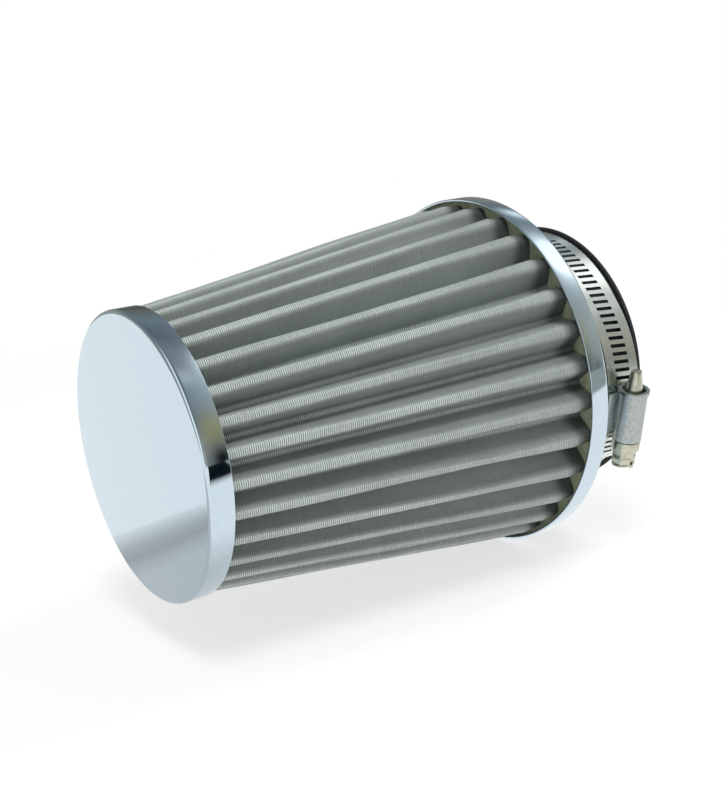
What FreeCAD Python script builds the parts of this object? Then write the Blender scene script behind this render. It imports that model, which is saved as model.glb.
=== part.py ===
import FreeCAD
import Part
import Sketcher
import math
import os

# Cone-shaped engine air filter: a pleated wire-mesh cone between a closed end cap and a base pan,
# with a rubber neck and a worm-drive hose clamp. Millimetres, +Z up. The axis lies along X, the
# origin is the centre of the neck's mouth and +X points out of the neck, so a place along the
# filter is given as its distance from the mouth, towards the cap.

# Driving dimensions
SIZES = {
    # Whole filter
    "overall_length": 163.0,
    "bond_gap": 0.05,
    # Pressed end cap
    "cap_diameter": 90.0,
    "cap_skirt": 8.0,
    "cap_edge_round": 1.3,
    "cap_corner_round": 0.6,
    "sheet_gauge": 0.8,
    "cap_potting_depth": 5.6,
    "cap_potting_round": 0.9,
    # Pressed base pan
    "ring_diameter": 120.0,
    "ring_width": 7.2,
    "ring_setback": 28.4,
    "ring_edge_round": 1.2,
    "ring_lip_round": 0.26,
    "base_potting_recess": 2.6,
    "base_potting_wall": 13.0,
    # Pleated mesh
    "pleat_count": 30,
    "pleat_phase": 2.3,
    "pleat_depth": 8.6,
    "mesh_gauge": 0.9,
    "cap_ridge_round": 2.0,
    "base_ridge_round": 2.8,
    "valley_round": 1.0,
    "crimp_length": 4.0,
    "crimp_drop": 1.6,
    "crimp_lift": 1.5,
    "mesh_clearance": 0.2,
    "mesh_embed": 2.6,
    # Rubber neck
    "neck_bore": 76.0,
    "neck_wall": 5.75,
    "lip_height": 1.75,
    "lip_width": 1.2,
    "lip_round": 0.5,
    "neck_flange_height": 7.2,
    "neck_flange_gauge": 2.2,
    # Clamp band
    "band_width": 13.6,
    "band_gauge": 0.7,
    "band_setback": 2.4,
    "clamp_angle": 194.8,
    "tail_bend_radius": 40.0,
    "tail_rise": 2.25,
    "tail_reach": 22.5,
    "slot_length": 6.3,
    "slot_width": 1.2,
    "slot_skew": 0.7,
    "slot_pitch_angle": 3.335,
    "slot_count": 34,
    "slot_start": 1.6,
    # Clamp saddle, housing and screw
    "saddle_gauge": 0.9,
    "saddle_length": 17.0,
    "housing_gauge": 0.8,
    "housing_length": 18.2,
    "housing_inner_radius": 3.95,
    "housing_leg_length": 14.0,
    "housing_rim_width": 1.4,
    "housing_rim_height": 0.45,
    "worm_clearance": 0.2,
    "worm_root_radius": 2.9,
    "worm_pitch": 2.57,
    "worm_flank": 0.514,
    "end_play": 0.3,
    "tip_length": 6.4,
    "tip_radius": 1.7,
    "collar_radius": 4.65,
    "collar_gauge": 3.4,
    "hex_flats": 7.0,
    "hex_height": 4.9,
    "driver_slot_width": 1.2,
    "driver_slot_depth": 1.7,
}

doc = FreeCAD.newDocument("cone_air_filter")
sheet = doc.addObject("Spreadsheet::Sheet", "Dims")
for row, (alias, size) in enumerate(SIZES.items(), start=1):
    sheet.set("A%d" % row, alias)
    sheet.set("B%d" % row, str(size))
    sheet.setAlias("B%d" % row, alias)
doc.recompute()

# Derived sizes, as expressions of the sheet
CAP_R = "(Dims.cap_diameter / 2)"
CAP_INNER_R = "(Dims.cap_diameter / 2 - Dims.sheet_gauge)"
CAP_FLOOR = "(Dims.overall_length - Dims.sheet_gauge)"
SKIRT_END = "(Dims.overall_length - Dims.cap_skirt)"
RING_R = "(Dims.ring_diameter / 2)"
RING_INNER_R = "(Dims.ring_diameter / 2 - Dims.sheet_gauge)"
RING_FRONT = "(Dims.ring_setback + Dims.ring_width)"
RING_FLOOR = "(Dims.ring_setback + Dims.sheet_gauge)"
BORE_R = "(Dims.neck_bore / 2)"
NECK_R = "(Dims.neck_bore / 2 + Dims.neck_wall)"
LIP_R = "(%s + Dims.lip_height)" % NECK_R
FLANGE_R = "(%s + Dims.neck_flange_height)" % NECK_R
FLANGE_BACK = "(%s + Dims.bond_gap)" % RING_FLOOR
FLANGE_FRONT = "(%s + Dims.neck_flange_gauge)" % FLANGE_BACK
POTTING_R = "(%s - Dims.bond_gap)" % RING_INNER_R
POTTING_FRONT = "(%s - Dims.base_potting_recess)" % RING_FRONT
CAP_POTTING_BACK = "(%s - Dims.bond_gap)" % CAP_FLOOR
CAP_POTTING_FRONT = "(%s - Dims.cap_potting_depth)" % CAP_POTTING_BACK
BAND_INNER_R = "(%s + Dims.bond_gap)" % NECK_R
BAND_OUTER_R = "(%s + Dims.band_gauge)" % BAND_INNER_R
BAND_FAR = "(Dims.band_setback + Dims.band_width)"
BAND_MIDDLE = "(Dims.band_setback + Dims.band_width / 2)"
TAIL_TOP = "(%s + Dims.band_gauge / 2 + Dims.tail_rise)" % BAND_INNER_R
TAIL_OUTER_TOP = "(%s + Dims.band_gauge / 2)" % TAIL_TOP
WORM_R = "(Dims.housing_inner_radius - Dims.worm_clearance)"
SCREW_HEIGHT = "(%s + %s + Dims.worm_clearance)" % (TAIL_OUTER_TOP, WORM_R)
BARREL_R = "(Dims.housing_inner_radius + Dims.housing_gauge)"
HOUSING_FLOOR = "(%s + Dims.bond_gap)" % TAIL_OUTER_TOP
LEG_INNER = "(Dims.band_width / 2 + Dims.bond_gap)"
LEG_OUTER = "(%s + Dims.housing_gauge)" % LEG_INNER


def value(expression):
    """Number that an expression of the sheet stands for."""
    result = sheet.evalExpression(expression)
    return float(getattr(result, "Value", result))


def origin_plane(body, role):
    """Origin plane of a body, found by its role."""
    return next(item for item in body.Origin.OriginFeatures if item.Role == role)


def new_body(label):
    """Empty body that becomes one node."""
    body = doc.addObject("PartDesign::Body", label)
    body.Label = label
    return body


def new_sketch(body, name, role):
    """Sketch on one of the body's own origin planes."""
    sketch = body.newObject("Sketcher::SketchObject", name)
    sketch.AttachmentSupport = (origin_plane(body, role), "")
    sketch.MapMode = "FlatFace"
    return sketch


def pin_point(sketch, geometry, end, across, up):
    """Tie a sketch point to two signed expressions, measured from the sketch's origin."""
    for kind, axis, expression in (("DistanceX", -2, across), ("DistanceY", -1, up)):
        if expression == "0":
            sketch.addConstraint(Sketcher.Constraint("PointOnObject", geometry, end, axis))
        elif value(expression) < 0:
            index = sketch.addConstraint(Sketcher.Constraint(kind, geometry, end, -1, 1, -value(expression)))
            sketch.setExpression("Constraints[%d]" % index, "-1 * (%s)" % expression)
        else:
            index = sketch.addConstraint(Sketcher.Constraint(kind, -1, 1, geometry, end, value(expression)))
            sketch.setExpression("Constraints[%d]" % index, expression)


def polygon(sketch, corners):
    """Closed polygon whose corners are pairs of expressions."""
    points = [FreeCAD.Vector(value(across), value(up), 0) for across, up in corners]
    count = len(points)
    for index in range(count):
        sketch.addGeometry(Part.LineSegment(points[index], points[(index + 1) % count]), False)
    for index in range(count):
        sketch.addConstraint(Sketcher.Constraint("Coincident", index, 2, (index + 1) % count, 1))
    for index, (across, up) in enumerate(corners):
        pin_point(sketch, index, 1, across, up)


def revolve(body, name, corners):
    """Turn a half section about the X axis; each corner is (distance from the mouth, radius)."""
    sketch = new_sketch(body, name + "_section", "XZ_Plane")
    polygon(sketch, [("0" if place == "0" else "-1 * %s" % place, radius) for place, radius in corners])
    feature = body.newObject("PartDesign::Revolution", name)
    feature.Profile = sketch
    feature.ReferenceAxis = (sketch, ["H_Axis"])
    feature.Angle = 360
    doc.recompute()
    return feature


def round_rims(body, name, base, rims, radius):
    """Fillet the circular edges of a turned piece; each rim is (distance from the mouth, radius)."""
    wanted = [(value(place), value(rim)) for place, rim in rims]
    names = []
    for index, edge in enumerate(base.Shape.Edges, start=1):
        if isinstance(edge.Curve, Part.Circle):
            place = -edge.Curve.Center.x
            if any(abs(place - x) < 1e-4 and abs(edge.Curve.Radius - r) < 1e-4 for x, r in wanted):
                names.append("Edge%d" % index)
    fillet = body.newObject("PartDesign::Fillet", name)
    fillet.Base = (base, names)
    fillet.setExpression("Radius", radius)
    doc.recompute()
    return fillet


def make_end_cap():
    """Closed chromed cup that covers the small end."""
    body = new_body("end_cap")
    cup = revolve(body, "cap_cup", [
        ("Dims.overall_length", "0"), ("Dims.overall_length", CAP_R), (SKIRT_END, CAP_R),
        (SKIRT_END, CAP_INNER_R), (CAP_FLOOR, CAP_INNER_R), (CAP_FLOOR, "0")])
    edge = round_rims(body, "cap_edge", cup, [("Dims.overall_length", CAP_R)], "Dims.cap_edge_round")
    round_rims(body, "cap_corner", edge, [(CAP_FLOOR, CAP_INNER_R)], "Dims.cap_corner_round")
    return body


def make_cap_potting():
    """Resin disc inside the cap that the pleats' small ends are cast into."""
    body = new_body("cap_potting")
    radius = "(%s - Dims.bond_gap)" % CAP_INNER_R
    disc = revolve(body, "cap_resin", [
        (CAP_POTTING_FRONT, "0"), (CAP_POTTING_FRONT, radius),
        (CAP_POTTING_BACK, radius), (CAP_POTTING_BACK, "0")])
    round_rims(body, "cap_resin_edge", disc, [(CAP_POTTING_BACK, radius)], "Dims.cap_potting_round")
    return body


def make_base_pan():
    """Chromed ring with an annular back that the neck passes through."""
    body = new_body("base_ring")
    hole = "(%s + Dims.bond_gap)" % NECK_R
    pan = revolve(body, "pan", [
        ("Dims.ring_setback", hole), ("Dims.ring_setback", RING_R), (RING_FRONT, RING_R),
        (RING_FRONT, RING_INNER_R), (RING_FLOOR, RING_INNER_R), (RING_FLOOR, hole)])
    edge = round_rims(body, "pan_edge", pan, [("Dims.ring_setback", RING_R)], "Dims.ring_edge_round")
    round_rims(body, "pan_lip", edge, [(RING_FRONT, RING_R)], "Dims.ring_lip_round")
    return body


def make_base_potting():
    """Resin ring in the pan, over the neck's flange, that the pleats' large ends are cast into."""
    body = new_body("base_potting")
    inner = "(%s - Dims.base_potting_wall)" % POTTING_R
    flange = "(%s + Dims.bond_gap)" % FLANGE_R
    step = "(%s + Dims.bond_gap)" % FLANGE_FRONT
    revolve(body, "base_resin", [
        (FLANGE_BACK, flange), (FLANGE_BACK, POTTING_R), (POTTING_FRONT, POTTING_R),
        (POTTING_FRONT, inner), (step, inner), (step, flange)])
    return body


def make_neck():
    """Rubber sleeve with a thin lip at its mouth and a flange held inside the pan."""
    body = new_body("neck")
    sleeve = revolve(body, "neck_sleeve", [
        ("0", BORE_R), ("0", LIP_R), ("Dims.lip_width", LIP_R), ("Dims.lip_width", NECK_R),
        (FLANGE_BACK, NECK_R), (FLANGE_BACK, FLANGE_R), (FLANGE_FRONT, FLANGE_R), (FLANGE_FRONT, BORE_R)])
    round_rims(body, "lip_edge", sleeve, [("0", LIP_R), ("Dims.lip_width", LIP_R)], "Dims.lip_round")
    return body


def fold_outline(place, ridge_radius, depth, ridge_round, inset):
    """Closed outline of the pleats in the plane at one place; inset steps into the cloth."""
    count = round(value("Dims.pleat_count"))
    half_pitch = math.pi / count
    valley_round = value("Dims.valley_round")
    valley_radius = ridge_radius - depth
    ridge_centre = complex(ridge_radius - ridge_round, 0)
    valley_centre = (valley_radius + valley_round) * complex(math.cos(half_pitch), math.sin(half_pitch))
    run = valley_centre - ridge_centre
    swing = math.acos((ridge_round + valley_round) / abs(run))
    heading = math.atan2(run.imag, run.real) - swing
    normal = complex(math.cos(heading), math.sin(heading))
    ridge_r = ridge_round - inset
    valley_r = valley_round + inset
    ridge_out = ridge_centre + ridge_r * normal
    valley_in = valley_centre - valley_r * normal
    ridge_top = ridge_centre + ridge_r
    valley_foot = valley_centre - valley_r * valley_centre / abs(valley_centre)

    def at(point, turn):
        turned = point * complex(math.cos(turn), math.sin(turn))
        return FreeCAD.Vector(-place, turned.real, turned.imag)

    edges = []
    for index in range(count):
        turn = 2 * half_pitch * index + math.radians(value("Dims.pleat_phase"))
        after = turn + 2 * half_pitch
        left, top, right = at(ridge_out.conjugate(), turn), at(ridge_top, turn), at(ridge_out, turn)
        down, foot, up = at(valley_in, turn), at(valley_foot, turn), at(valley_in.conjugate(), after)
        edges.append(Part.Arc(left, top, right).toShape())
        edges.append(Part.LineSegment(right, down).toShape())
        edges.append(Part.Arc(down, foot, up).toShape())
        edges.append(Part.LineSegment(up, at(ridge_out.conjugate(), after)).toShape())
    return Part.Wire(edges)


def make_pleated_mesh():
    """Wire cloth folded into straight pleats that open towards the base and are crimped there."""
    skirt_end = value(SKIRT_END)
    cap_end = value(CAP_POTTING_FRONT) + value("Dims.mesh_embed")
    base_end = value(FLANGE_FRONT) + value("Dims.mesh_clearance")
    skirt_ridge = value(CAP_INNER_R) - value("Dims.mesh_clearance")
    base_ridge = value(RING_INNER_R) - value("Dims.mesh_clearance")
    taper = (base_ridge - skirt_ridge) / (skirt_end - base_end)
    crimp_place = value(RING_FRONT) + value("Dims.crimp_length")
    cap_ridge = skirt_ridge - taper * (cap_end - skirt_end)
    crimp_ridge = base_ridge - taper * (crimp_place - base_end)
    depth = value("Dims.pleat_depth")
    crimped_depth = depth - value("Dims.crimp_drop") - value("Dims.crimp_lift")
    cap_round, base_round = value("Dims.cap_ridge_round"), value("Dims.base_ridge_round")
    ends = (
        ("cap", cap_end, cap_ridge, depth, cap_round),
        ("crimp", crimp_place, crimp_ridge, depth, base_round),
        ("base", base_end, base_ridge - value("Dims.crimp_drop"), crimped_depth, base_round))
    skins = []
    for name, inset in (("outer", 0.0), ("inner", value("Dims.mesh_gauge"))):
        sections = []
        for end, place, ridge, pleat_depth, ridge_round in ends:
            section = doc.addObject("Part::Feature", "fold_%s_%s" % (name, end))
            section.Shape = fold_outline(place, ridge, pleat_depth, ridge_round, inset)
            sections.append(section)
        skin = doc.addObject("Part::Loft", "fold_%s" % name)
        skin.Sections = sections
        skin.Solid = True
        skin.Ruled = True
        skins.append(skin)
    mesh = doc.addObject("Part::Cut", "pleated_mesh")
    mesh.Base, mesh.Tool = skins
    mesh.Label = "pleated_mesh"
    doc.recompute()
    return mesh


def turn_to_clamp(body):
    """Swing a clamp piece, modelled with its screw on top, to the clamp's place round the neck."""
    body.Placement = FreeCAD.Placement(FreeCAD.Vector(), FreeCAD.Rotation(FreeCAD.Vector(1, 0, 0), 1))
    body.setExpression("Placement.Rotation.Angle", "Dims.clamp_angle - 90")
    doc.recompute()


def make_clamp_band():
    """Slotted steel strip wrapped once round the neck, with its free end lapped under the screw."""
    body = new_body("clamp_band")
    ring_r = value(BAND_INNER_R) + value("Dims.band_gauge") / 2
    bend_r = value("Dims.tail_bend_radius")
    lift = value(TAIL_TOP) - bend_r
    touch = math.asin((ring_r - bend_r) / lift)
    tail_end = math.acos(-value("Dims.tail_reach") / bend_r)
    path = new_sketch(body, "band_path", "YZ_Plane")
    centre = FreeCAD.Vector(0, 0, 0)
    bend_centre = FreeCAD.Vector(0, lift, 0)
    normal = FreeCAD.Vector(0, 0, 1)
    toward = FreeCAD.Vector(math.cos(touch), math.sin(touch), 0)
    ring = Part.ArcOfCircle(Part.Circle(centre, normal, ring_r), math.pi / 2, 2 * math.pi + touch)
    lead = Part.LineSegment(toward * ring_r, bend_centre + toward * bend_r)
    tail = Part.ArcOfCircle(Part.Circle(bend_centre, normal, bend_r), touch, tail_end)
    for piece in (ring, lead, tail):
        path.addGeometry(piece, False)
    path.addConstraint(Sketcher.Constraint("Coincident", 0, 3, -1, 1))
    path.addConstraint(Sketcher.Constraint("PointOnObject", 0, 1, -2))
    path.addConstraint(Sketcher.Constraint("Tangent", 0, 2, 1, 1))
    path.addConstraint(Sketcher.Constraint("Tangent", 1, 2, 2, 1))
    path.addConstraint(Sketcher.Constraint("PointOnObject", 2, 3, -2))
    for constraint, expression in (
            (Sketcher.Constraint("Radius", 0, ring_r), "%s + Dims.band_gauge / 2" % BAND_INNER_R),
            (Sketcher.Constraint("Radius", 2, bend_r), "Dims.tail_bend_radius"),
            (Sketcher.Constraint("DistanceY", -1, 1, 2, 3, lift), "%s - Dims.tail_bend_radius" % TAIL_TOP),
            (Sketcher.Constraint("DistanceX", 2, 2, -1, 1, value("Dims.tail_reach")), "Dims.tail_reach")):
        index = path.addConstraint(constraint)
        path.setExpression("Constraints[%d]" % index, expression)
    section = new_sketch(body, "band_section", "XZ_Plane")
    polygon(section, [
        ("-1 * Dims.band_setback", BAND_INNER_R), ("-1 * Dims.band_setback", BAND_OUTER_R),
        ("-1 * %s" % BAND_FAR, BAND_OUTER_R), ("-1 * %s" % BAND_FAR, BAND_INNER_R)])
    strip = body.newObject("PartDesign::AdditivePipe", "band_strip")
    strip.Profile = section
    strip.Spine = path
    doc.recompute()
    slot = new_sketch(body, "slot_outline", "XZ_Plane")
    near = "(%s + Dims.slot_length / 2)" % BAND_MIDDLE
    far = "(%s - Dims.slot_length / 2)" % BAND_MIDDLE
    polygon(slot, [
        ("-1 * %s" % near, "Dims.slot_start"), ("-1 * %s" % near, "(Dims.slot_start + Dims.slot_width)"),
        ("-1 * %s" % far, "(Dims.slot_start + Dims.slot_width + Dims.slot_skew)"),
        ("-1 * %s" % far, "(Dims.slot_start + Dims.slot_skew)")])
    cut = body.newObject("PartDesign::Pocket", "slot")
    cut.Profile = slot
    cut.Type = 0
    cut.Reversed = False
    cut.setExpression("Length", "%s + Dims.tail_rise + 2 * Dims.band_gauge" % BAND_OUTER_R)
    doc.recompute()
    row = body.newObject("PartDesign::PolarPattern", "slot_row")
    row.Originals = [cut]
    row.Axis = (slot, ["H_Axis"])
    row.setExpression("Occurrences", "Dims.slot_count")
    row.setExpression("Angle", "Dims.slot_pitch_angle * (Dims.slot_count - 1)")
    body.Tip = row
    doc.recompute()
    turn_to_clamp(body)
    return body


def make_clamp_saddle():
    """Curved strap between the band's fixed end and its lapped free end."""
    body = new_body("clamp_saddle")
    base_r = "(%s + Dims.bond_gap)" % BAND_OUTER_R
    strap = new_sketch(body, "saddle_outline", "XZ_Plane")
    polygon(strap, [
        ("-1 * Dims.band_setback", base_r), ("-1 * Dims.band_setback", "(%s + Dims.saddle_gauge)" % base_r),
        ("-1 * %s" % BAND_FAR, "(%s + Dims.saddle_gauge)" % base_r), ("-1 * %s" % BAND_FAR, base_r)])
    arc = body.newObject("PartDesign::Revolution", "saddle_strap")
    arc.Profile = strap
    arc.ReferenceAxis = (strap, ["H_Axis"])
    arc.Midplane = True
    arc.setExpression("Angle", "2 * asin(Dims.saddle_length / 2 / %s)" % BAND_OUTER_R)
    doc.recompute()
    turn_to_clamp(body)
    return body


def extrude_across(body, kind, name, sketch, length):
    """Pad or pocket a cross-section of the clamp symmetrically along the screw's axis."""
    feature = body.newObject("PartDesign::%s" % kind, name)
    feature.Profile = sketch
    feature.Midplane = True
    feature.setExpression("Length", length)
    doc.recompute()
    return feature


def circle(sketch, across, up, radius):
    """Circle whose centre and radius are expressions."""
    centre = FreeCAD.Vector(value(across), value(up), 0)
    index = sketch.addGeometry(Part.Circle(centre, FreeCAD.Vector(0, 0, 1), value(radius)), False)
    pin_point(sketch, index, 3, across, up)
    size = sketch.addConstraint(Sketcher.Constraint("Radius", index, value(radius)))
    sketch.setExpression("Constraints[%d]" % size, radius)


def make_clamp_housing():
    """Pressed steel housing: a barrel over the worm, with shoulders and legs that clasp the band."""
    body = new_body("clamp_housing")
    middle = "-1 * %s" % BAND_MIDDLE
    roof = "(%s + Dims.housing_gauge)" % HOUSING_FLOOR
    foot = "(%s + 2 * Dims.bond_gap)" % BAND_INNER_R
    shoulders = new_sketch(body, "shoulder_section", "XZ_Plane")
    polygon(shoulders, [
        ("%s - %s" % (middle, LEG_OUTER), foot), ("%s - %s" % (middle, LEG_OUTER), roof),
        ("%s + %s" % (middle, LEG_OUTER), roof), ("%s + %s" % (middle, LEG_OUTER), foot),
        ("%s + %s" % (middle, LEG_INNER), foot), ("%s + %s" % (middle, LEG_INNER), HOUSING_FLOOR),
        ("%s - %s" % (middle, LEG_INNER), HOUSING_FLOOR), ("%s - %s" % (middle, LEG_INNER), foot)])
    extrude_across(body, "Pad", "shoulders", shoulders, "Dims.housing_leg_length")
    barrel = new_sketch(body, "barrel_section", "XZ_Plane")
    circle(barrel, middle, SCREW_HEIGHT, BARREL_R)
    extrude_across(body, "Pad", "barrel", barrel, "Dims.housing_length")
    rim = new_sketch(body, "rim_section", "XZ_Plane")
    rim.setExpression("AttachmentOffset.Base.z", "-1 * Dims.housing_length / 2")
    circle(rim, middle, SCREW_HEIGHT, "(%s + Dims.housing_rim_height)" % BARREL_R)
    rolled = body.newObject("PartDesign::Pad", "rolled_rim")
    rolled.Profile = rim
    rolled.setExpression("Length", "Dims.housing_rim_width")
    doc.recompute()
    bore = new_sketch(body, "bore_section", "XZ_Plane")
    circle(bore, middle, SCREW_HEIGHT, "Dims.housing_inner_radius")
    extrude_across(body, "Pocket", "worm_bore", bore, "2 * Dims.housing_length")
    way = new_sketch(body, "band_way_section", "XZ_Plane")
    polygon(way, [
        ("%s - %s" % (middle, LEG_INNER), foot), ("%s - %s" % (middle, LEG_INNER), HOUSING_FLOOR),
        ("%s + %s" % (middle, LEG_INNER), HOUSING_FLOOR), ("%s + %s" % (middle, LEG_INNER), foot)])
    extrude_across(body, "Pocket", "band_way", way, "2 * Dims.housing_length")
    turn_to_clamp(body)
    return body


def make_clamp_screw():
    """Worm screw with a tapered tip, a collar and a slotted hexagon head."""
    body = new_body("clamp_screw")
    middle = "-1 * %s" % BAND_MIDDLE
    half = "(Dims.housing_length / 2)"
    collar = "(-1 * %s - Dims.end_play)" % half
    shank = new_sketch(body, "screw_section", "XY_Plane")
    shank.setExpression("AttachmentOffset.Base.z", SCREW_HEIGHT)
    under = "(%s - Dims.collar_gauge)" % collar
    polygon(shank, [
        (middle, under), ("%s + Dims.collar_radius" % middle, under),
        ("%s + Dims.collar_radius" % middle, collar),
        ("%s + Dims.worm_root_radius" % middle, collar), ("%s + Dims.worm_root_radius" % middle, half),
        ("%s + Dims.tip_radius" % middle, "(%s + Dims.tip_length)" % half),
        (middle, "(%s + Dims.tip_length)" % half)])
    turned = body.newObject("PartDesign::Revolution", "screw_turned")
    turned.Profile = shank
    turned.ReferenceAxis = (shank, ["Edge7"])
    turned.Angle = 360
    doc.recompute()
    tooth = new_sketch(body, "worm_tooth", "XY_Plane")
    tooth.setExpression("AttachmentOffset.Base.z", SCREW_HEIGHT)
    start = "(-1 * %s + Dims.worm_pitch / 2)" % half
    sunk = "%s + Dims.worm_root_radius - Dims.worm_clearance" % middle
    crest = "%s + %s" % (middle, WORM_R)
    polygon(tooth, [
        (sunk, start), (crest, "(%s + Dims.worm_flank)" % start),
        (crest, "(%s + 2 * Dims.worm_flank)" % start), (sunk, "(%s + 3 * Dims.worm_flank)" % start)])
    worm = body.newObject("PartDesign::AdditiveHelix", "worm_thread")
    worm.Profile = tooth
    worm.ReferenceAxis = (shank, ["Edge7"])
    worm.Mode = 0
    worm.setExpression("Pitch", "Dims.worm_pitch")
    worm.setExpression("Height", "Dims.housing_length - 2 * Dims.worm_pitch")
    doc.recompute()
    head = new_sketch(body, "head_section", "XZ_Plane")
    head.setExpression("AttachmentOffset.Base.z", "-1 * %s" % under)
    corner = "(Dims.hex_flats / sqrt(3))"
    half_flat = "(Dims.hex_flats / 2)"
    polygon(head, [
        ("%s - %s" % (middle, half_flat), "(%s + %s / 2)" % (SCREW_HEIGHT, corner)),
        (middle, "(%s + %s)" % (SCREW_HEIGHT, corner)),
        ("%s + %s" % (middle, half_flat), "(%s + %s / 2)" % (SCREW_HEIGHT, corner)),
        ("%s + %s" % (middle, half_flat), "(%s - %s / 2)" % (SCREW_HEIGHT, corner)),
        (middle, "(%s - %s)" % (SCREW_HEIGHT, corner)),
        ("%s - %s" % (middle, half_flat), "(%s - %s / 2)" % (SCREW_HEIGHT, corner))])
    hexagon = body.newObject("PartDesign::Pad", "hex_head")
    hexagon.Profile = head
    hexagon.setExpression("Length", "Dims.hex_height")
    doc.recompute()
    slot = new_sketch(body, "driver_slot_section", "XZ_Plane")
    slot.setExpression("AttachmentOffset.Base.z", "-1 * %s + Dims.hex_height" % under)
    left = "%s - Dims.driver_slot_width / 2" % middle
    right = "%s + Dims.driver_slot_width / 2" % middle
    low = "(%s - Dims.hex_flats)" % SCREW_HEIGHT
    high = "(%s + Dims.hex_flats)" % SCREW_HEIGHT
    polygon(slot, [(left, low), (right, low), (right, high), (left, high)])
    driver = body.newObject("PartDesign::Pocket", "driver_slot")
    driver.Profile = slot
    driver.setExpression("Length", "Dims.driver_slot_depth")
    doc.recompute()
    turn_to_clamp(body)
    return body


PIECES = [
    make_end_cap(),
    make_cap_potting(),
    make_pleated_mesh(),
    make_base_pan(),
    make_base_potting(),
    make_neck(),
    make_clamp_band(),
    make_clamp_saddle(),
    make_clamp_housing(),
    make_clamp_screw(),
]

# Checks before anything is written
doc.recompute()
for item in doc.Objects:
    if "Invalid" in item.State or "Error" in item.State:
        raise RuntimeError("%s failed: %s" % (item.Label, item.State))
for piece in PIECES:
    if piece.Shape.isNull() or not piece.Shape.isValid():
        raise RuntimeError("%s has no valid shape" % piece.Label)

os.makedirs("parts", exist_ok=True)
for piece in PIECES:
    piece.Shape.exportStep("parts/%s.step" % piece.Label)
    box = piece.Shape.BoundBox
    print("%-14s solids %d volume %9.1f box %.1f..%.1f %.1f..%.1f %.1f..%.1f" % (
        piece.Label, len(piece.Shape.Solids), piece.Shape.Volume,
        box.XMin, box.XMax, box.YMin, box.YMax, box.ZMin, box.ZMax))
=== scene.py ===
import bpy
import bmesh
import math
from mathutils import Matrix, Vector, noise


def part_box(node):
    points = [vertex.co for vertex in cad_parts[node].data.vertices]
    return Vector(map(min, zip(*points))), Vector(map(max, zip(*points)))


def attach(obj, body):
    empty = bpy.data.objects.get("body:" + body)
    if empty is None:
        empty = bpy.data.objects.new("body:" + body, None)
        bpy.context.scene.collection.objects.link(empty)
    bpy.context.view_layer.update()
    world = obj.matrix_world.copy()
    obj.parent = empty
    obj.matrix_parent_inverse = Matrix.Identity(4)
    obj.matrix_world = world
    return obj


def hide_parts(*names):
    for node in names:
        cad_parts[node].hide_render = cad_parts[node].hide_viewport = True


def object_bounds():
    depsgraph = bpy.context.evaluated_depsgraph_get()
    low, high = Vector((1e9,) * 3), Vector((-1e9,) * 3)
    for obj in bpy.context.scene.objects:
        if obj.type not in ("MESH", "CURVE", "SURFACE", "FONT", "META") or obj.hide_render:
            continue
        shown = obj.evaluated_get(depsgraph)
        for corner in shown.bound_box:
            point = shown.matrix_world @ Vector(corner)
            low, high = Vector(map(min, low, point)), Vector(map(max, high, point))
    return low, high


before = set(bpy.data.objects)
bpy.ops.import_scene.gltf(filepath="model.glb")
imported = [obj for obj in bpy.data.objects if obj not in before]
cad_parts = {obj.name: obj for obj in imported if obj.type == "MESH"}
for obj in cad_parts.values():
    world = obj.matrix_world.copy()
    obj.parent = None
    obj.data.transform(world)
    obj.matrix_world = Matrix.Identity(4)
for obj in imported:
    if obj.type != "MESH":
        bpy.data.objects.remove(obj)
cad_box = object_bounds()

# Sizes in metres. Places along the filter are X values: the neck's mouth is 0, the cap is negative.
MM = 0.001
CAP_LOW, CAP_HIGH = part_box("end_cap")
RING_LOW, RING_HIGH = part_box("base_ring")
MESH_LOW, MESH_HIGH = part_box("pleated_mesh")
NECK_LOW, NECK_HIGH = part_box("neck")
SHEET_GAUGE = 0.8 * MM
CAP_RADIUS = 45 * MM
RING_RADIUS = 60 * MM
NECK_RADIUS = 43.75 * MM
BORE_RADIUS = 38 * MM
LIP_RADIUS = 45.5 * MM
LIP_WIDTH = 1.2 * MM
FLANGE_RADIUS = 50.95 * MM
BOND_GAP = 0.05 * MM

# Rounding of the pressed and moulded edges
CAP_EDGE_ROUND = 1.3 * MM
CAP_RIM_ROUND = 0.25 * MM
CAP_RIM_INNER_ROUND = 0.15 * MM
CAP_FLOOR_ROUND = 0.6 * MM
RING_EDGE_ROUND = 1.2 * MM
RING_LIP_ROUND = 0.26 * MM
RING_LIP_INNER_ROUND = 0.2 * MM
RING_FLOOR_ROUND = 0.3 * MM
LIP_ROUND = 0.5 * MM
RIM_SHARE = 6
FINE_TURN = 256

# Pleats of the wire cloth
PLEATS = 30
PLEAT_PHASE = math.radians(2.3)
PLEAT_DEPTH = 8.6 * MM
CAP_RIDGE_ROUND = 2.0 * MM
BASE_RIDGE_ROUND = 2.8 * MM
VALLEY_ROUND = 1.0 * MM
CRIMP_LENGTH = 4.0 * MM
CRIMP_DROP = 1.6 * MM
CRIMP_LIFT = 1.5 * MM
CLOTH_GAUGE = 0.9 * MM
CLOTH_CLEARANCE = 0.2 * MM
SKIRT_RIDGE = CAP_RADIUS - SHEET_GAUGE - CLOTH_CLEARANCE
BASE_RIDGE = RING_RADIUS - SHEET_GAUGE - CLOTH_CLEARANCE
X_CAP, X_BASE = MESH_LOW[0], MESH_HIGH[0]
X_CRIMP = RING_LOW[0] - CRIMP_LENGTH
X_MID = X_CRIMP - 28 * MM
MID_RIDGE_ROUND = 1.9 * MM
LONG_ROWS, CRIMP_ROWS = 42, 6
FOLD_SWAY = 0.012
FOLD_SWELL = 0.5 * MM

# Depth of the grain in plated metal
PLATE_GRAIN = 0.0001

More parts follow.
